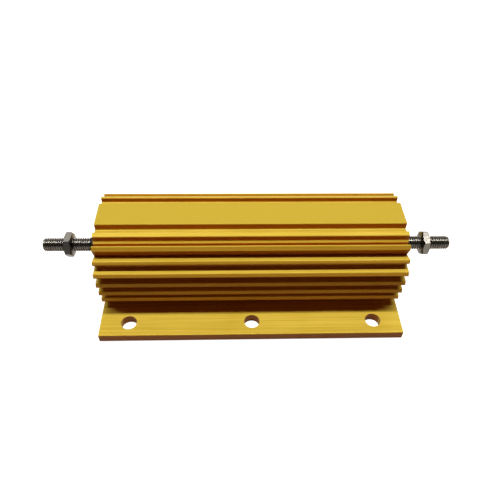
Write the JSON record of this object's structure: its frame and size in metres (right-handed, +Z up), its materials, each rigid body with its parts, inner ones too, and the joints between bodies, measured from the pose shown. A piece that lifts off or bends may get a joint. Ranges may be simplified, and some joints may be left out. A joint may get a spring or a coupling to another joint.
{
  "type": "aluminium housed power resistor",
  "caption": "Wirewound power resistor in a finned, gold anodised aluminium extrusion with a drilled base and a threaded stud with nut at each end.",
  "frame": {"origin": "middle of the underside of the base, halfway along the housing", "axes": "+X along the housing towards its right end, +Y across the base, +Z up from the mounting surface"},
  "size_m": [0.1782, 0.0724, 0.0394],
  "materials": {
    "housing": "gold anodised extrusion, satin",
    "terminals": "nickel plated, rolled thread",
    "bush": "moulded black, matt",
    "ceramic": "unglazed alumina",
    "wire": "copper-nickel wire in cement",
    "caps": "drawn steel",
    "compound": "mineral filled, matt"
  },
  "bodies": {
    "root": {"housing": "housing", "ceramic_core": "ceramic", "resistance_wire": "wire", "moulding_compound": "compound", "end_cap_left": "caps", "end_cap_right": "caps", "terminal_stud_left": "terminals", "terminal_stud_right": "terminals", "insulating_bush_left": "bush", "insulating_bush_right": "bush", "terminal_nut_left": "terminals", "terminal_nut_right": "terminals"}
  },
  "joints": []
}
